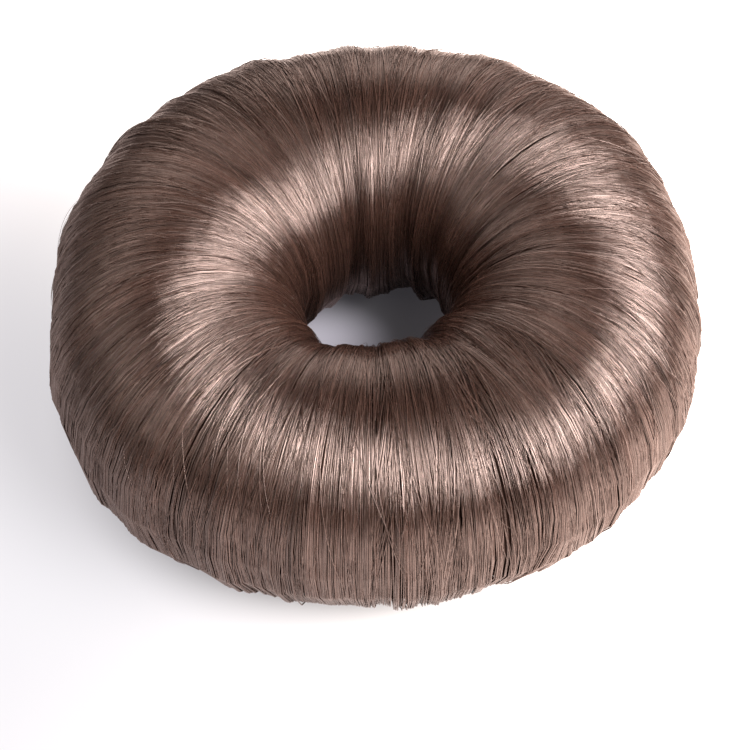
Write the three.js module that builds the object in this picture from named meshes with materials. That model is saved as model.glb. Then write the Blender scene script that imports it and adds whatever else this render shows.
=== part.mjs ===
// Hair bun donut: a padded ring of combed synthetic hair, wound round the tube from hole to rim.
// Units are millimetres and +Z is up. The ring rests on its pressed underside, and the origin is
// on that surface, under the middle of the ring.
import * as THREE from "three";
import { ParametricGeometry } from "three/addons/geometries/ParametricGeometry.js";

// Driving dimensions
const CROWN_HEIGHT = 38.3; // from the resting surface to the top of the ring
const PRESSED_DEPTH = 1.2; // hair under the ring that its own weight presses flat
const LOCK_COUNT = 36; // combed locks side by side round the ring
const LOCK_RELIEF = 0.4; // from the groove beside a lock up to its crest
const LOCK_UNEVENNESS = 0.3; // the most that one crest stands above or below the usual
const LEAN_DEG = 1.2; // the most that a lock strays from straight across the ring
const LEAN_WAVES = 5; // times that the lean changes side round the ring
const TUFT_COUNT = 13; // tufts that the locks bunch into where they pass through the hole
const TUFT_RELIEF = 0.4; // half the height of a tuft at the waist of the hole

// Mesh density
const COLUMNS_PER_LOCK = 4; // a groove, a shoulder, a crest and a shoulder
const ROWS_ROUND_TUBE = 36;

// Radii of the ring, a row for each section, evenly spaced anticlockwise from +X
const SECTIONS = [
  { rim: 47.1, hole: 10.9 },
  { rim: 48.6, hole: 10.8 },
  { rim: 49.2, hole: 11.8 },
  { rim: 48.1, hole: 12.8 },
  { rim: 47.1, hole: 11.2 },
  { rim: 48.1, hole: 10.8 },
  { rim: 48.7, hole: 9.5 },
  { rim: 48.7, hole: 10.7 },
  { rim: 47.5, hole: 10.8 },
  { rim: 49.1, hole: 10.7 },
  { rim: 49.9, hole: 11.5 },
  { rim: 48.3, hole: 12.4 },
  { rim: 47.3, hole: 10.8 },
  { rim: 47.7, hole: 10.8 },
  { rim: 48.2, hole: 10.1 },
  { rim: 48.0, hole: 10.6 },
];

// Main partings, a row for each place where neighbouring locks fall apart
const PARTINGS = [
  { atDeg: 17, depth: 0.7, halfWidthDeg: 5 },
  { atDeg: 58, depth: 0.5, halfWidthDeg: 4 },
  { atDeg: 109, depth: 0.8, halfWidthDeg: 5 },
  { atDeg: 151, depth: 0.5, halfWidthDeg: 4 },
  { atDeg: 204, depth: 0.5, halfWidthDeg: 5 },
  { atDeg: 247, depth: 0.5, halfWidthDeg: 4 },
  { atDeg: 294, depth: 0.9, halfWidthDeg: 5 },
  { atDeg: 325, depth: 0.7, halfWidthDeg: 6 },
];

const TURN = 2 * Math.PI;
const GOLDEN_ANGLE = Math.PI * (3 - Math.sqrt(5)); // a step that never repeats from lock to lock

const radiiRoundRing = new THREE.CatmullRomCurve3(
  SECTIONS.map(({ rim, hole }) => new THREE.Vector3(rim, hole, 0)),
  true,
);

// Each lock is a low bulge between two grooves, and no two crests stand equally high.
function lockRelief(aroundRing) {
  const acrossLocks = aroundRing * LOCK_COUNT;
  const bulge = Math.sin(Math.PI * (acrossLocks % 1));
  const uneven = LOCK_UNEVENNESS * Math.sin(GOLDEN_ANGLE * Math.floor(acrossLocks));
  return bulge * (LOCK_RELIEF + uneven) - LOCK_RELIEF;
}

// A parting is a rounded valley that runs right round the tube.
function partingRelief(aroundRing) {
  return PARTINGS.reduce((sum, { atDeg, depth, halfWidthDeg }) => {
    const away = THREE.MathUtils.euclideanModulo(360 * aroundRing - atDeg + 180, 360) - 180;
    const share = Math.max(0, 1 - Math.abs(away) / halfWidthDeg);
    return sum - depth * THREE.MathUtils.smoothstep(share, 0, 1);
  }, 0);
}

// Tufts show on the wall of the hole and fade out towards the rim.
function tuftRelief(aroundRing, tubeAngle) {
  const towardsHole = ((1 - Math.cos(tubeAngle)) / 2) ** 2;
  return TUFT_RELIEF * towardsHole * Math.sin(TURN * TUFT_COUNT * aroundRing);
}

// A point of the hair's surface: aroundRing and aroundTube run from 0 to 1,
// and the tube is followed from the rim over the crown into the hole and back underneath.
function hairSurface(aroundRing, aroundTube, target) {
  const { x: rim, y: hole } = radiiRoundRing.getPoint(aroundRing);
  const tubeAngle = TURN * aroundTube;
  const swell = lockRelief(aroundRing) + partingRelief(aroundRing) + tuftRelief(aroundRing, tubeAngle);
  const halfWidth = (rim - hole) / 2 + swell;
  const halfHeight = (CROWN_HEIGHT + PRESSED_DEPTH) / 2;
  const radius = (rim + hole) / 2 + halfWidth * Math.cos(tubeAngle);
  const height = halfHeight - PRESSED_DEPTH + (halfHeight + swell) * Math.sin(tubeAngle);
  const lean = THREE.MathUtils.degToRad(LEAN_DEG) * Math.sin(TURN * LEAN_WAVES * aroundRing);
  const ringAngle = TURN * aroundRing + lean * Math.sin(tubeAngle);
  target.set(radius * Math.cos(ringAngle), radius * Math.sin(ringAngle), Math.max(height, 0));
}

// The ring's solid, moved so that the origin is under the middle of its outline.
function hairRingGeometry() {
  const geometry = new ParametricGeometry(hairSurface, LOCK_COUNT * COLUMNS_PER_LOCK, ROWS_ROUND_TUBE);
  geometry.computeBoundingBox();
  const middle = geometry.boundingBox.getCenter(new THREE.Vector3());
  return geometry.translate(-middle.x, -middle.y, 0);
}

const brownHair = new THREE.MeshStandardMaterial({ color: 0x6b5248, roughness: 0.45, metalness: 0 });

const hairRing = new THREE.Mesh(hairRingGeometry(), brownHair);
hairRing.name = "hair_ring";

const hairBunDonut = new THREE.Group();
hairBunDonut.name = "hair_bun_donut";
hairBunDonut.add(hairRing);

export default hairBunDonut;
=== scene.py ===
import math
import bpy
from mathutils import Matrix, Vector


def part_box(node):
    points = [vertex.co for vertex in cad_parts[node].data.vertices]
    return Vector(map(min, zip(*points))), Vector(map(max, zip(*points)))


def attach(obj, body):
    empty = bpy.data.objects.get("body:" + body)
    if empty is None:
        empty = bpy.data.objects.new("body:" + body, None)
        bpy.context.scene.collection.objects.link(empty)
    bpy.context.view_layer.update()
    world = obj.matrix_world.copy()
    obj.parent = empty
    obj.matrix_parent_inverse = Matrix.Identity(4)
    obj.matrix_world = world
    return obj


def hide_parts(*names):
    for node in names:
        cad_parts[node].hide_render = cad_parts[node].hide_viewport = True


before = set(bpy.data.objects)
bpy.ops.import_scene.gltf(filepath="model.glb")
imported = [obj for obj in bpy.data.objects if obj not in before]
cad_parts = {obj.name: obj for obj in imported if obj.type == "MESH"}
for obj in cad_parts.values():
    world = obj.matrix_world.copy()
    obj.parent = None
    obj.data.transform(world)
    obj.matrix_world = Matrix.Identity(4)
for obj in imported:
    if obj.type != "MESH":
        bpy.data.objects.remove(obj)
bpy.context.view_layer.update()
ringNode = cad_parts["hair_ring"]
print("frame loaded")

# where the tube of the ring runs, in metres
ringLow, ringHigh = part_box("hair_ring")
tube = {
    "holeRadius": 0.011,
    "rimRadius": (ringHigh.x - ringLow.x) / 2,
    "middleHeight": (ringHigh.z - ringLow.z) / 2,
}
tube["middleRadius"] = (tube["holeRadius"] + tube["rimRadius"]) / 2
fullTurn = 2 * math.pi


# small helpers for building node trees
def wire(tree, value, socket):
    if isinstance(value, bpy.types.NodeSocket):
        tree.links.new(value, socket)
    else:
        socket.default_value = value


def place(tree, kind, inputs=None, **settings):
    node = tree.nodes.new(kind)
    for name, value in settings.items():
        setattr(node, name, value)
    for key, value in (inputs or {}).items():
        wire(tree, value, node.inputs[key])
    return node


def calc(tree, operation, *values):
    node = place(tree, "ShaderNodeMath", dict(enumerate(values)), operation=operation)
    return node.outputs["Value"]


def total(tree, first, *others):
    for other in others:
        first = calc(tree, "ADD", first, other)
    return first


def product(tree, first, *others):
    for other in others:
        first = calc(tree, "MULTIPLY", first, other)
    return first


# goes from least to most as the value goes from begin to full, softly at both ends
def eased(tree, value, begin, full, least, most):
    node = place(tree, "ShaderNodeMapRange", {
        "Value": value, "From Min": begin, "From Max": full, "To Min": least, "To Max": most},
        interpolation_type="SMOOTHSTEP")
    return node.outputs["Result"]


def vectorCalc(tree, operation, *vectors):
    node = place(tree, "ShaderNodeVectorMath", dict(enumerate(vectors)), operation=operation)
    return node.outputs["Value" if operation in ("LENGTH", "DOT_PRODUCT") else "Vector"]


def scaled(tree, vector, factor):
    node = place(tree, "ShaderNodeVectorMath", {0: vector, "Scale": factor}, operation="SCALE")
    return node.outputs["Vector"]


def combined(tree, x, y, z=0.0):
    return place(tree, "ShaderNodeCombineXYZ", {"X": x, "Y": y, "Z": z}).outputs[0]


def separated(tree, vector):
    return place(tree, "ShaderNodeSeparateXYZ", {0: vector}).outputs


# these two nodes have a set of sockets for each kind of value, so theirs go by number
def blendColour(tree, share, first, second):
    return place(tree, "ShaderNodeMix", {0: share, 6: first, 7: second}, data_type="RGBA").outputs[2]


def drawLots(tree, lowest, highest, owner, seed):
    node = place(tree, "FunctionNodeRandomValue", {2: lowest, 3: highest, "ID": owner, "Seed": seed},
                 data_type="FLOAT")
    return node.outputs[1]


# a tree's sockets are listed by kind
def addSockets(tree, side, kinds):
    for kind, labels in kinds.items():
        for label in labels:
            tree.interface.new_socket(name=label, in_out=side, socket_type="NodeSocket" + kind)


def openTree(name, inputs):
    tree = bpy.data.node_groups.new(name, "GeometryNodeTree")
    addSockets(tree, "OUTPUT", {"Geometry": ["Geometry"]})
    addSockets(tree, "INPUT", inputs)
    return tree, place(tree, "NodeGroupInput").outputs


def closeTree(tree, geometry, material):
    smooth = place(tree, "GeometryNodeSetShadeSmooth", {"Geometry": geometry})
    solid = place(tree, "GeometryNodeRealizeInstances", {"Geometry": smooth.outputs[0]})
    dressed = place(tree, "GeometryNodeSetMaterial", {"Geometry": solid.outputs[0], "Material": material})
    place(tree, "NodeGroupOutput", {"Geometry": dressed.outputs[0]})


def addToScene(name, data):
    thing = bpy.data.objects.new(name, data)
    bpy.context.scene.collection.objects.link(thing)
    return thing


# runs a tree over a copy of the ring's surface and keeps the result as a plain mesh
def growPiece(name, tree, values):
    piece = addToScene(name, ringNode.data.copy())
    modifier = piece.modifiers.new("grow", "NODES")
    modifier.node_group = tree
    for item in tree.interface.items_tree:
        if item.in_out == "INPUT" and item.name in values:
            modifier[item.identifier] = values[item.name]
    evaluated = piece.evaluated_get(bpy.context.evaluated_depsgraph_get())
    mesh = bpy.data.meshes.new_from_object(evaluated)
    piece.modifiers.clear()
    piece.data = mesh
    mesh.name = name
    mesh.calc_loop_triangles()
    print(name, "has", len(mesh.loop_triangles), "triangles")
    return piece


# patterns of smooth noise: how many cells go round the ring and along a strand
ripples = {
    "swell": {"round": 70, "along": 7, "seed": 27.7},
    "broad": {"round": 40, "along": 3, "seed": 3.1},
    "fine": {"round": 260, "along": 3, "seed": 8.4},
    "ribbon": {"round": 330, "along": 2.5, "seed": 15.7},
    "tone": {"round": 140, "along": 1.5, "seed": 21.9},
}
noiseGain = 4.0  # brings noise that mostly stays between 0.25 and 0.75 to about -1 and 1


# one of the patterns, closed up round the ring and round the tube
def ripple(tree, name, ringAngle, tubeAngle):
    cells = ripples[name]
    ringScale = cells["round"] / fullTurn
    tubeScale = cells["along"] / fullTurn
    spot = combined(tree, product(tree, calc(tree, "COSINE", ringAngle), ringScale),
                    product(tree, calc(tree, "SINE", ringAngle), ringScale),
                    product(tree, calc(tree, "COSINE", tubeAngle), tubeScale))
    turn = calc(tree, "MULTIPLY_ADD", calc(tree, "SINE", tubeAngle), tubeScale, cells["seed"])
    noise = place(tree, "ShaderNodeTexNoise", {"Vector": spot, "W": turn, "Scale": 1.0, "Detail": 0.0},
                  noise_dimensions="4D")
    return calc(tree, "MULTIPLY_ADD", noise.outputs[0], noiseGain, -noiseGain / 2)


# the spot on the ring's surface in the direction of the two angles, raised by lift and kept above lowest
def surfaceSpot(tree, surface, ringAngle, tubeAngle, lift, lowest):
    ringCos = calc(tree, "COSINE", ringAngle)
    ringSin = calc(tree, "SINE", ringAngle)
    outward = calc(tree, "COSINE", tubeAngle)
    start = combined(tree, product(tree, ringCos, tube["middleRadius"]),
                     product(tree, ringSin, tube["middleRadius"]), tube["middleHeight"])
    way = combined(tree, product(tree, ringCos, outward), product(tree, ringSin, outward),
                   calc(tree, "SINE", tubeAngle))
    ray = place(tree, "GeometryNodeRaycast", {
        "Target Geometry": surface, "Source Position": start, "Ray Direction": way,
        "Ray Length": tube["rimRadius"]})
    distance = calc(tree, "ADD", ray.outputs["Hit Distance"], lift)
    reached = vectorCalc(tree, "MULTIPLY_ADD", way, combined(tree, distance, distance, distance), start)
    floorGuard = combined(tree, -1.0, -1.0, lowest)  # a metre out, so that only the height is held
    return vectorCalc(tree, "MAXIMUM", reached, floorGuard)


# the ring's triangles are loose until they are merged
def mergedSurface(tree, surface):
    return place(tree, "GeometryNodeMergeByDistance", {"Geometry": surface, "Distance": 1e-6}).outputs[0]


# the ring's surface made finer and eased, so that strands laid on it run smoothly
def easedSurface(tree, surface, rounds):
    finer = place(tree, "GeometryNodeSubdivisionSurface", {"Mesh": mergedSurface(tree, surface), "Level": 1})
    spot = place(tree, "GeometryNodeInputPosition").outputs[0]
    blurred = place(tree, "GeometryNodeBlurAttribute", {"Value": spot, "Iterations": rounds},
                    data_type="FLOAT_VECTOR")
    moved = place(tree, "GeometryNodeSetPosition", {
        "Geometry": finer.outputs[0], "Position": blurred.outputs["Value"]})
    return moved.outputs[0]


# every strand is a thin tube, and no two are equally thick
strandForm = {
    "sides": 3,
    "thinnest": 0.7,
    "thickest": 1.2,
    "blankSize": 0.01,  # of the curve before it is laid on the ring
    "uvMap": "OFBake",
}


# a tube along each curve, with the tone and the height along the ring kept as its UV map
def strandsToMesh(tree, curves, tone, along, thickness, closeEnds):
    keep = place(tree, "GeometryNodeCaptureAttribute", {"Geometry": curves}, domain="POINT")
    for label, value in (("tone", tone), ("along", along), ("thickness", thickness)):
        keep.capture_items.new("FLOAT", label)
        wire(tree, value, keep.inputs[label])
    outline = place(tree, "GeometryNodeCurvePrimitiveCircle", {
        "Resolution": strandForm["sides"], "Radius": 1.0})
    tubes = place(tree, "GeometryNodeCurveToMesh", {
        "Curve": keep.outputs[0], "Profile Curve": outline.outputs[0], "Scale": keep.outputs["thickness"],
        "Fill Caps": closeEnds})
    uv = combined(tree, keep.outputs["tone"], keep.outputs["along"])
    mapped = place(tree, "GeometryNodeStoreNamedAttribute", {
        "Geometry": tubes.outputs[0], "Name": strandForm["uvMap"], "Value": uv},
        data_type="FLOAT2", domain="CORNER")
    return mapped.outputs[0]


def copiesOf(tree, shape, count):
    points = place(tree, "GeometryNodePoints", {"Count": count})
    copies = place(tree, "GeometryNodeInstanceOnPoints", {"Points": points.outputs[0], "Instance": shape})
    return place(tree, "GeometryNodeRealizeInstances", {"Geometry": copies.outputs[0]}).outputs[0]


# from 0 under the tube to 1 over it
def heightShare(tree, tubeAngle):
    return calc(tree, "MULTIPLY_ADD", calc(tree, "SINE", tubeAngle), 0.5, 0.5)


# one side of the ring is combed less tidily than the rest
looseSide = {"way": math.radians(-30), "begins": 0.3, "full": 0.95, "most": 2.8}


def looseness(tree, ringAngle):
    near = calc(tree, "COSINE", calc(tree, "SUBTRACT", ringAngle, looseSide["way"]))
    return eased(tree, near, looseSide["begins"], looseSide["full"], 1.0, looseSide["most"])


# low swells that bend the gloss, the same for every layer of strands
def hairSwell(tree, ringAngle, tubeAngle, height):
    return product(tree, ripple(tree, "swell", ringAngle, tubeAngle), height, looseness(tree, ringAngle))


combRules = {
    "crownCrowding": 0.45,  # steps lie close together over the crown and far apart underneath
    "sideCrowding": -0.05,
    "edgeBlur": 0.25,  # how far a lock or a tuft mixes with the next one, as a share of its width
    "rarity": 3.0,  # powers that keep most waves small and most tufts flat
    "riseRarity": 4.0,
    "lowBegins": 0.7,  # sine of the angle round the tube where tufts begin and are full
    "lowFull": -0.6,
    "leastPull": 0.1,
    "tuftLean": math.radians(0.8),
    "holeCrowding": 0.4,
    "middleTone": 0.5,
    "lockTone": 0.28,
}


# combed strands: closed loops that follow the tube from the hole over the crown to the rim and back
def combedStrands():
    tree, given = openTree("combedStrands", {
        "Geometry": ["Surface"], "Material": ["Hair"], "Int": ["Easing", "Strands", "Steps", "Seed"],
        "Float": ["Lift", "Thickness", "Burial", "Swell", "Locks", "Lock Lean", "Lock Lift", "Ribbon Height",
                  "Broad Drift", "Fine Drift", "Stray", "Tufts", "Tuft Pull", "Tuft Lift", "Tone Spread"]})
    loop = place(tree, "GeometryNodeCurvePrimitiveCircle", {
        "Resolution": given["Steps"], "Radius": strandForm["blankSize"]})
    loops = copiesOf(tree, loop.outputs[0], given["Strands"])
    where = place(tree, "GeometryNodeCurveOfPoint")
    strand = where.outputs["Curve Index"]

    def lots(lowest, highest, draw):
        return drawLots(tree, lowest, highest, strand, calc(tree, "ADD", given["Seed"], draw))

    # where the strand runs: its home round the ring, and its steps round the tube
    share = calc(tree, "DIVIDE", calc(tree, "ADD", strand, lots(0, 1, draw=1)), given["Strands"])
    ringHome = product(tree, share, fullTurn)
    evenStep = calc(tree, "DIVIDE", where.outputs["Index in Curve"], given["Steps"])
    evenTurn = product(tree, evenStep, fullTurn)
    onceRound = calc(tree, "COSINE", evenTurn)
    twiceRound = calc(tree, "SINE", product(tree, evenTurn, 2.0))
    tubeAngle = calc(tree, "MULTIPLY_ADD", onceRound, combRules["crownCrowding"], evenTurn)
    tubeAngle = calc(tree, "MULTIPLY_ADD", twiceRound, combRules["sideCrowding"], tubeAngle)

    # the lock and the tuft that it belongs to
    def bundleOf(count, draw):
        blur = lots(-combRules["edgeBlur"], combRules["edgeBlur"], draw)
        return calc(tree, "FLOOR", calc(tree, "MULTIPLY_ADD", share, count, blur))

    lock = bundleOf(given["Locks"], draw=10)
    tuft = bundleOf(given["Tufts"], draw=9)

    # a wave along the strand, seldom a large one
    def rareWave(phase, size):
        wave = calc(tree, "SINE", calc(tree, "ADD", tubeAngle, phase))
        return product(tree, wave, calc(tree, "POWER", size, combRules["rarity"]))

    # strands of one lock lean and lift together, so that locks part and overlap
    lockWave = rareWave(drawLots(tree, 0, fullTurn, lock, 3), drawLots(tree, -1, 1, lock, 4))
    lean = product(tree, lockWave, given["Lock Lean"], looseness(tree, ringHome))
    lockLift = product(tree, drawLots(tree, -1, 1, lock, 5), given["Lock Lift"])
    broad = product(tree, ripple(tree, "broad", ringHome, tubeAngle), given["Broad Drift"])
    fine = product(tree, ripple(tree, "fine", ringHome, tubeAngle), given["Fine Drift"])
    stray = product(tree, rareWave(lots(0, fullTurn, draw=3), lots(-1, 1, draw=4)), given["Stray"])

    # low on the ring the strands draw together in tufts
    lowShare = eased(tree, calc(tree, "SINE", tubeAngle), combRules["lowBegins"], combRules["lowFull"],
                     0.0, 1.0)
    tuftHome = calc(tree, "DIVIDE", calc(tree, "ADD", tuft, 0.5), given["Tufts"])
    pull = product(tree, calc(tree, "SUBTRACT", tuftHome, share), fullTurn,
                   drawLots(tree, combRules["leastPull"], 1.0, tuft, 6))
    tuftLean = drawLots(tree, -combRules["tuftLean"], combRules["tuftLean"], tuft, 8)
    tuftSide = product(tree, total(tree, pull, tuftLean), product(tree, lowShare, given["Tuft Pull"]))
    tuftRise = calc(tree, "POWER", drawLots(tree, 0.0, 1.0, tuft, 7), combRules["riseRarity"])
    tuftLift = product(tree, tuftRise, given["Tuft Lift"], lowShare)
    ringAngle = total(tree, ringHome, lean, broad, fine, stray, tuftSide)

    # strands crowd together towards the hole, so they are finer there
    spread = calc(tree, "MULTIPLY_ADD", calc(tree, "COSINE", tubeAngle), combRules["holeCrowding"], 1.0)
    ribbon = product(tree, ripple(tree, "ribbon", ringHome, tubeAngle), given["Ribbon Height"], spread)
    burial = product(tree, lots(-1, 0, draw=5), given["Burial"])
    thickness = product(tree, given["Thickness"], spread,
                        lots(strandForm["thinnest"], strandForm["thickest"], draw=6))
    ground = easedSurface(tree, given["Surface"], given["Easing"])
    swell = hairSwell(tree, ringHome, tubeAngle, given["Swell"])
    lift = total(tree, given["Lift"], swell, lockLift, ribbon, burial, tuftLift)
    spot = surfaceSpot(tree, ground, ringAngle, tubeAngle, lift, thickness)
    laid = place(tree, "GeometryNodeSetPosition", {"Geometry": loops, "Position": spot})
    rolled = place(tree, "GeometryNodeSetCurveTilt", {
        "Curve": laid.outputs[0], "Tilt": lots(0, fullTurn, draw=8)})

    toneWave = product(tree, ripple(tree, "tone", ringHome, tubeAngle), combRules["lockTone"])
    ownTone = product(tree, lots(-1, 1, draw=7), given["Tone Spread"])
    tone = total(tree, combRules["middleTone"], toneWave, ownTone)
    along = heightShare(tree, tubeAngle)
    closeTree(tree, strandsToMesh(tree, rolled.outputs[0], tone, along, thickness, False), given["Hair"])
    return tree


looseRules = {
    "shortest": 0.5,  # as a share of the full span
    "slant": 2.0,  # shares of the crossing angle
    "sweep": 0.5,
    "bowRarity": 2.0,  # the power that keeps most bows low
    "tipCurl": 2.0,
    "taper": 0.7,  # how much thinner the ends are, and how close to the ends that begins
    "taperReach": 4.0,
}


# loose strands: open hairs over the combed ones, alone or in tufts that draw together at the tip
def looseStrands():
    tree, given = openTree("looseStrands", {
        "Geometry": ["Surface"], "Material": ["Hair"], "Int": ["Easing", "Strands", "Steps", "Seed"],
        "Float": ["Swell", "Thickness", "Tuft Size", "Tuft Spread", "Tube From", "Tube To", "Span",
                  "Crossing", "Lift", "Bow", "Tip Lift", "Tone", "Tone Spread"]})
    line = place(tree, "GeometryNodeCurvePrimitiveLine", {"End": (strandForm["blankSize"], 0, 0)})
    stepped = place(tree, "GeometryNodeResampleCurve", {"Curve": line.outputs[0], "Count": given["Steps"]})
    lines = copiesOf(tree, stepped.outputs[0], given["Strands"])
    where = place(tree, "GeometryNodeCurveOfPoint")
    strand = where.outputs["Curve Index"]
    tuft = calc(tree, "FLOOR", calc(tree, "DIVIDE", strand, given["Tuft Size"]))

    def lots(lowest, highest, draw, owner=strand):
        return drawLots(tree, lowest, highest, owner, calc(tree, "ADD", given["Seed"], draw))

    # reach runs from 0 at the root to 1 at the tip
    lastStep = calc(tree, "SUBTRACT", given["Steps"], 1.0)
    reach = calc(tree, "DIVIDE", where.outputs["Index in Curve"], lastStep)
    fromMiddle = calc(tree, "SUBTRACT", reach, 0.5)
    arch = calc(tree, "SINE", product(tree, reach, math.pi))
    span = product(tree, given["Span"], lots(looseRules["shortest"], 1, draw=1))
    tubeMiddle = lots(given["Tube From"], given["Tube To"], draw=2, owner=tuft)
    tubeAngle = calc(tree, "MULTIPLY_ADD", fromMiddle, span, tubeMiddle)
    slantShare = lots(-looseRules["slant"], looseRules["slant"], draw=3)
    slant = product(tree, fromMiddle, slantShare, given["Crossing"])
    sweepShare = lots(-looseRules["sweep"], looseRules["sweep"], draw=4)
    sweep = product(tree, arch, sweepShare, given["Crossing"])
    fan = product(tree, calc(tree, "SUBTRACT", 1.0, reach), lots(-1, 1, draw=5), given["Tuft Spread"])
    ringAngle = total(tree, lots(0, fullTurn, draw=6, owner=tuft), slant, sweep, fan)

    bowShare = calc(tree, "POWER", lots(0, 1, draw=7), looseRules["bowRarity"])
    bow = product(tree, arch, bowShare, given["Bow"])
    curl = calc(tree, "POWER", reach, looseRules["tipCurl"])
    tipRise = product(tree, curl, lots(0, 1, draw=8), given["Tip Lift"])
    swell = hairSwell(tree, ringAngle, tubeAngle, given["Swell"])
    lift = total(tree, given["Lift"], swell, bow, tipRise)
    towardsEnd = calc(tree, "ABSOLUTE", product(tree, fromMiddle, 2.0))
    nearEnd = calc(tree, "POWER", towardsEnd, looseRules["taperReach"])
    taper = calc(tree, "MULTIPLY_ADD", nearEnd, -looseRules["taper"], 1.0)
    thickness = product(tree, given["Thickness"], taper,
                        lots(strandForm["thinnest"], strandForm["thickest"], draw=9))
    ground = easedSurface(tree, given["Surface"], given["Easing"])
    spot = surfaceSpot(tree, ground, ringAngle, tubeAngle, lift, thickness)
    laid = place(tree, "GeometryNodeSetPosition", {"Geometry": lines, "Position": spot})
    rolled = place(tree, "GeometryNodeSetCurveTilt", {
        "Curve": laid.outputs[0], "Tilt": lots(0, fullTurn, draw=10)})

    tone = calc(tree, "MULTIPLY_ADD", lots(-1, 1, draw=11), given["Tone Spread"], given["Tone"])
    along = heightShare(tree, tubeAngle)
    closeTree(tree, strandsToMesh(tree, rolled.outputs[0], tone, along, thickness, True), given["Hair"])
    return tree


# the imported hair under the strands: the ring's own surface, merged and sunk a little
def packedBed():
    tree, given = openTree("packedBed", {
        "Geometry": ["Surface"], "Material": ["Hair"],
        "Float": ["Sink", "Low Sink", "Low Begins", "Low Full"]})
    height = separated(tree, place(tree, "GeometryNodeInputPosition").outputs[0])["Z"]
    sink = eased(tree, height, given["Low Begins"], given["Low Full"], given["Sink"], given["Low Sink"])
    normal = place(tree, "GeometryNodeInputNormal").outputs[0]
    sunk = place(tree, "GeometryNodeSetPosition", {
        "Geometry": mergedSurface(tree, given["Surface"]),
        "Offset": scaled(tree, normal, product(tree, sink, -1.0))})
    closeTree(tree, sunk.outputs[0], given["Hair"])
    return tree


hairLook = {
    "deep": (0.030, 0.0134, 0.0094, 1),
    "pale": (0.086, 0.0403, 0.0288, 1),
    # the bed's colours are darker than the strands': painted shade in the gaps between strands
    "paintedShadeBedDeep": (0.012, 0.0060, 0.0046, 1),
    "paintedShadeBedPale": (0.030, 0.0155, 0.0120, 1),
    "brokenDeep": (0.16, 0.11, 0.09, 1),
    "brokenPale": (0.42, 0.33, 0.28, 1),
    "mottle": 0.12,
    "mottleAcross": 400.0,  # how fast the mottling changes from tone to tone and along a strand
    "mottleAlong": 9.0,
    "roughness": 0.21,
    "roughnessDraw": 0.10,  # no two strands are equally smooth
    "drawsPerTone": 37.0,
    "roughnessMottle": 0.3,
    "shine": 0.42,  # deep strands keep the colour in their gloss, pale ones less
    "shineByTone": -0.2,
    "indexOfRefraction": 2.0,
    "gloss": 1.0,
    "bedGloss": 0.0,
    "glossTint": (1.0, 0.78, 0.70, 1),
    "bedStreaks": 160.0,
}


# hair finish: the tone of a strand and a little mottling along it
def hairToneGroup():
    group = bpy.data.node_groups.new("hairTone", "ShaderNodeTree")
    addSockets(group, "INPUT", {"Float": ["Tone", "Along", "Mottle"], "Color": ["Deep", "Pale"]})
    addSockets(group, "OUTPUT", {"Color": ["Color"], "Float": ["Roughness", "Shine"]})
    given = place(group, "NodeGroupInput").outputs
    spot = combined(group, product(group, given["Tone"], hairLook["mottleAcross"]),
                    product(group, given["Along"], hairLook["mottleAlong"]))
    noise = place(group, "ShaderNodeTexNoise", {"Vector": spot, "Scale": 1.0, "Detail": 2.0})
    mottle = product(group, calc(group, "SUBTRACT", noise.outputs[0], 0.5), given["Mottle"])
    colour = blendColour(group, calc(group, "ADD", given["Tone"], mottle), given["Deep"], given["Pale"])
    draw = calc(group, "FRACT", product(group, given["Tone"], hairLook["drawsPerTone"]))
    roughness = total(group, product(group, draw, hairLook["roughnessDraw"]),
                      product(group, mottle, hairLook["roughnessMottle"]), hairLook["roughness"])
    shine = calc(group, "MULTIPLY_ADD", given["Tone"], hairLook["shineByTone"], hairLook["shine"])
    place(group, "NodeGroupOutput", {"Color": colour, "Roughness": roughness, "Shine": shine})
    return group


hairTone = hairToneGroup()


def hairMaterial(name, deep, pale, gloss, fromUv):
    material = bpy.data.materials.new(name)
    material.use_nodes = True
    tree = material.node_tree
    shader = tree.nodes["Principled BSDF"]
    shader.inputs["IOR"].default_value = hairLook["indexOfRefraction"]
    shader.inputs["Specular Tint"].default_value = hairLook["glossTint"]
    shader.inputs["Specular IOR Level"].default_value = gloss
    if fromUv:
        spot = separated(tree, place(tree, "ShaderNodeUVMap", uv_map=strandForm["uvMap"]).outputs[0])
        tone, along = spot["X"], spot["Y"]
    else:
        spot = separated(tree, place(tree, "ShaderNodeTexCoord").outputs["Object"])
        streak = place(tree, "ShaderNodeTexNoise", {
            "W": calc(tree, "ARCTAN2", spot["Y"], spot["X"]), "Scale": hairLook["bedStreaks"], "Detail": 2.0},
            noise_dimensions="1D")
        tone = streak.outputs[0]
        along = calc(tree, "DIVIDE", spot["Z"], 2 * tube["middleHeight"])
    finish = place(tree, "ShaderNodeGroup", node_tree=hairTone)
    looks = {"Tone": tone, "Along": along, "Deep": deep, "Pale": pale, "Mottle": hairLook["mottle"]}
    for label, value in looks.items():
        wire(tree, value, finish.inputs[label])
    tree.links.new(finish.outputs["Color"], shader.inputs["Base Color"])
    tree.links.new(finish.outputs["Roughness"], shader.inputs["Roughness"])
    if fromUv:
        tree.links.new(finish.outputs["Shine"], shader.inputs["Metallic"])
    return material


strandHair = hairMaterial("strandHair", hairLook["deep"], hairLook["pale"], hairLook["gloss"], True)
# the bed's darker colours are painted shade showing through the gaps between strands
paintedShadeBedHair = hairMaterial("paintedShadeBedHair", hairLook["paintedShadeBedDeep"], hairLook["paintedShadeBedPale"], hairLook["bedGloss"], False)
brokenHair = hairMaterial("brokenHair", hairLook["brokenDeep"], hairLook["brokenPale"],
                          hairLook["bedGloss"], True)
print("hair materials ready")

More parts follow.
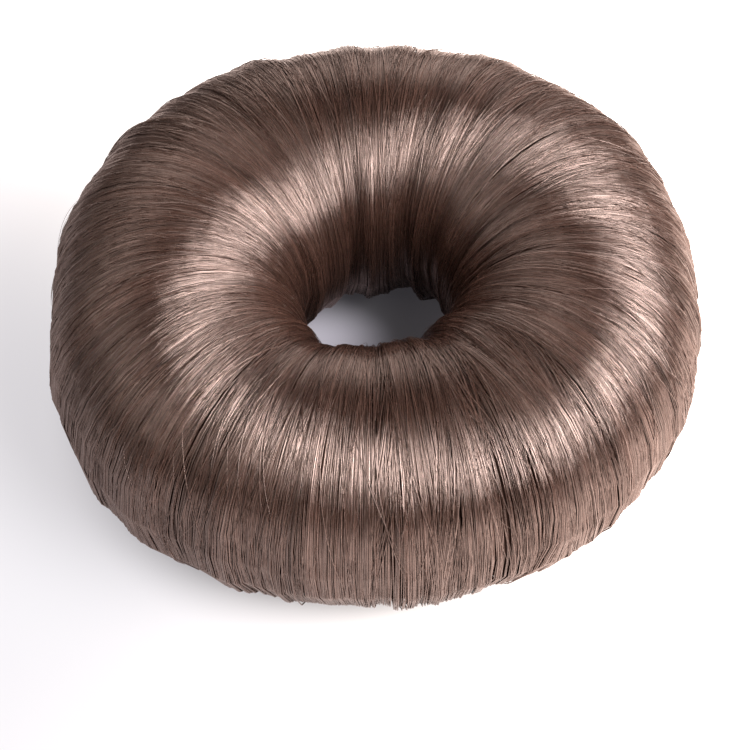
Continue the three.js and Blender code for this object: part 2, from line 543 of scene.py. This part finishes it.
# packed bed, coloured darker than the strands as painted shade between them
bedSizes = {
    "Sink": 0.0006,
    "Low Sink": 0.0015,  # low on the ring the strands cut straighter, so the bed lies deeper
    "Low Begins": 0.018,
    "Low Full": 0.006,
    "Hair": paintedShadeBedHair,
}
bed = growPiece("packed_hair", packedBed(), bedSizes)
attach(bed, "root")
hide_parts("hair_ring")


def layStrands(tree, sizes, layers):
    for layer in layers:
        strands = growPiece(layer["name"], tree, {**sizes, **layer})
        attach(strands, "root")
        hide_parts("hair_ring")


# combed layers, from the deepest to the outermost
combSizes = {
    "Easing": 4,
    "Lift": 0.0001,
    "Strands": 1388,
    "Steps": 24,
    "Thickness": 0.00007,
    "Locks": 84.0,
    "Lock Lean": math.radians(3.2),
    "Swell": 0.00015,
    "Lock Lift": 0.0001,
    "Ribbon Height": 0.00005,
    "Broad Drift": math.radians(0.9),
    "Fine Drift": math.radians(0.15),
    "Stray": math.radians(1.2),
    "Tufts": 157.0,
    "Tuft Pull": 0.55,
    "Tuft Lift": 0.0005,
    "Tone Spread": 0.22,
    "Hair": strandHair,
}
combLayers = [
    {"name": "combed_hair_1", "Burial": 0.0003, "Lock Lean": 0.0, "Tuft Pull": 0.1, "Tuft Lift": 0.0,
     "Seed": 11},
    {"name": "combed_hair_2", "Burial": 0.0002, "Lock Lean": 0.0, "Tuft Pull": 0.2, "Tuft Lift": 0.0,
     "Seed": 29},
    {"name": "combed_hair_3", "Burial": 0.00015, "Seed": 47},
    {"name": "combed_hair_4", "Burial": 0.0001, "Seed": 83},
]
layStrands(combedStrands(), combSizes, combLayers)

# loose hairs over the combed ones
looseSizes = {
    "Easing": 4,
    "Swell": 0.00015,
    "Tuft Size": 1.0,
    "Tuft Spread": 0.0,
    "Tip Lift": 0.0,
    "Hair": strandHair,
}
looseLayers = [
    {"name": "crossing_hairs", "Strands": 700, "Steps": 16, "Thickness": 0.000065,
     "Tube From": math.radians(30), "Tube To": math.radians(140), "Span": math.radians(120),
     "Crossing": math.radians(5), "Lift": 0.00018, "Bow": 0.00015, "Tone": 0.7, "Tone Spread": 0.4,
     "Seed": 101},
    {"name": "flyaway_hairs", "Strands": 130, "Steps": 14, "Thickness": 0.00003,
     "Tube From": math.radians(15), "Tube To": math.radians(150), "Span": math.radians(60),
     "Crossing": math.radians(6), "Lift": 0.0002, "Bow": 0.0004, "Tip Lift": 0.0003, "Tone": 0.8,
     "Tone Spread": 0.3, "Seed": 131},
    {"name": "rim_tufts", "Strands": 720, "Steps": 10, "Thickness": 0.00006,
     "Tube From": math.radians(-8), "Tube To": math.radians(4), "Span": math.radians(-70),
     "Crossing": math.radians(0.6), "Lift": 0.00005, "Bow": 0.0001, "Tip Lift": 0.0001, "Tone": 0.6,
     "Tone Spread": 0.4, "Seed": 163, "Tuft Size": 9.0, "Tuft Spread": math.radians(1.6)},
    {"name": "broken_hairs", "Strands": 40, "Steps": 5, "Thickness": 0.000020,
     "Tube From": 0.0, "Tube To": math.radians(180), "Span": math.radians(3),
     "Crossing": math.radians(1.0), "Lift": 0.0003, "Bow": 0.0003, "Tone": 0.6, "Tone Spread": 0.4,
     "Seed": 197, "Hair": brokenHair},
]
layStrands(looseStrands(), looseSizes, looseLayers)

# floor, partly lit by painted light in its own glow
floorLook = {
    "size": 3.0,
    "drop": 0.0001,
    "colour": (0.20, 0.198, 0.204, 1),
    "roughness": 0.6,
    "gloss": 0.1,
    "glowColour": (0.98, 0.955, 1.0),
    "paintedGlow": 0.60,  # painted light: the floor glows, dark where the ring covers it
    "glowFrom": 0.030,
    "glowFull": 0.050,
    "glowFades": 0.11,
    "glowEnds": 0.22,
    "spillColour": (1.0, 0.89, 0.80),
    "paintedSpill": 2.9,  # painted light, brighter towards the key light
    "spillWay": (0.966, 0.259, 0.0),
    "patchColour": (0.93, 0.87, 1.0),
    "paintedPatch": 0.40,  # painted light in a soft oval spot, standing in for light that falls through the hole
    "patchMiddle": (-0.0095, 0.0115, 0.0),
    "patchShape": (1.0, 1.4, 0.0),
    "patchFrom": 0.0135,
    "patchFull": 0.001,
    # a faint painted glow over the rest of the floor in the hole
    "patchLeast": 0.030,
}


def paintedLightFloor():
    half = floorLook["size"] / 2
    mesh = bpy.data.meshes.new("painted_light_floor")
    corners = [(-half, -half), (half, -half), (half, half), (-half, half)]
    mesh.from_pydata([(x, y, -floorLook["drop"]) for x, y in corners], [], [(0, 1, 2, 3)])
    material = bpy.data.materials.new("paintedLightFloor")
    material.use_nodes = True
    tree = material.node_tree
    shader = tree.nodes["Principled BSDF"]
    shader.inputs["Base Color"].default_value = floorLook["colour"]
    shader.inputs["Roughness"].default_value = floorLook["roughness"]
    shader.inputs["Specular IOR Level"].default_value = floorLook["gloss"]
    shader.inputs["Emission Strength"].default_value = 1.0
    spot = place(tree, "ShaderNodeTexCoord").outputs["Object"]

    # painted glow round the ring
    away = vectorCalc(tree, "LENGTH", spot)
    towards = vectorCalc(tree, "DOT_PRODUCT", vectorCalc(tree, "NORMALIZE", spot), floorLook["spillWay"])
    clear = eased(tree, away, floorLook["glowFrom"], floorLook["glowFull"], 0.0, 1.0)
    side = eased(tree, towards, -1.0, 1.0, 0.0, floorLook["paintedSpill"])
    near = eased(tree, away, floorLook["glowEnds"], floorLook["glowFades"], 0.0, 1.0)
    paintedGlow = vectorCalc(tree, "ADD", scaled(tree, floorLook["glowColour"], floorLook["paintedGlow"]),
                      scaled(tree, floorLook["spillColour"], side))

    # painted spot of light in the hole
    fromPatch = vectorCalc(tree, "SUBTRACT", spot, floorLook["patchMiddle"])
    reach = vectorCalc(tree, "LENGTH", vectorCalc(tree, "MULTIPLY", fromPatch, floorLook["patchShape"]))
    paintedPatch = eased(tree, reach, floorLook["patchFrom"], floorLook["patchFull"], 0.0, floorLook["paintedPatch"])
    paintedPatch = calc(tree, "ADD", paintedPatch, floorLook["patchLeast"])

    # the floor's emission is all painted light: the glow, the spill towards the key light and the spot in the
    # hole
    lit = blendColour(tree, clear, scaled(tree, floorLook["patchColour"], paintedPatch), scaled(tree, paintedGlow, near))
    tree.links.new(lit, shader.inputs["Emission Color"])
    mesh.materials.append(material)
    return addToScene("painted_light_floor", mesh)


paintedLightFloor()
print("floor laid")

# light and camera
studio = {
    "worldColour": (1.0, 0.955, 0.92, 1),
    "worldStrength": 0.05,
    "keyDirection": (0.579, -0.425, 0.697),
    "keyDistance": 0.295,
    "keySize": 0.29,
    "keySpreadDeg": 72.0,  # bright in the middle, fading to its sides
    "keyPower": 0.86,
    "keyAim": (-0.055, 0.060, 0.018),
}
# pale screens round the table: direction, strength, and the cosines where each begins and is full
screens = [
    {"way": (-0.635, -0.428, 0.643), "strength": 2.2, "begin": 0.85, "full": 0.985},
    {"way": (0.957, 0.203, 0.208), "strength": 0.3, "begin": 0.80, "full": 0.98},
    {"way": (-0.990, -0.060, 0.120), "strength": 0.6, "begin": 0.75, "full": 0.97},
    {"way": (0.100, 0.970, 0.220), "strength": 2.4, "begin": 0.70, "full": 0.98},
]
camera = {
    "elevationDeg": 49.76,
    "distance": 0.6,
    "aimHeight": 0.018,
    "tiltDeg": 0.7425,  # looks this far below the ring's middle, which puts it above the picture's middle
    "sensor": 36.0,
    "lens": 197.05,
    "clipStart": 0.01,
}


def keyLight():
    light = bpy.data.lights.new("key_light", "AREA")
    light.shape = "SQUARE"
    light.size = studio["keySize"]
    light.spread = math.radians(studio["keySpreadDeg"])
    light.energy = studio["keyPower"]
    lamp = addToScene("key_light", light)
    lamp.location = [part * studio["keyDistance"] for part in studio["keyDirection"]]
    x, y, z = [there - here for there, here in zip(lamp.location, studio["keyAim"])]
    lamp.rotation_euler = (math.atan2(math.hypot(x, y), z), 0, math.atan2(x, -y))


def studioWorld():
    world = bpy.data.worlds.new("studio")
    world.use_nodes = True
    tree = world.node_tree
    background = tree.nodes["Background"]
    background.inputs["Color"].default_value = studio["worldColour"]
    way = place(tree, "ShaderNodeTexCoord").outputs["Generated"]
    level = studio["worldStrength"]
    for screen in screens:
        towards = vectorCalc(tree, "DOT_PRODUCT", way, screen["way"])
        light = eased(tree, towards, screen["begin"], screen["full"], 0.0, screen["strength"])
        level = calc(tree, "ADD", level, light)
    tree.links.new(level, background.inputs["Strength"])
    bpy.context.scene.world = world


def pictureCamera():
    view = bpy.data.cameras.new("camera")
    view.lens = camera["lens"]
    view.sensor_width = camera["sensor"]
    view.clip_start = camera["clipStart"]
    eye = addToScene("camera", view)
    rise = math.radians(camera["elevationDeg"])
    back = camera["distance"] * math.cos(rise)
    height = camera["aimHeight"] + camera["distance"] * math.sin(rise)
    eye.location = (0, -back, height)
    eye.rotation_euler = (math.radians(90 - camera["elevationDeg"] - camera["tiltDeg"]), 0, 0)
    bpy.context.scene.camera = eye


keyLight()
studioWorld()
pictureCamera()
bpy.context.scene.view_settings.view_transform = "Standard"
print("light and camera set")
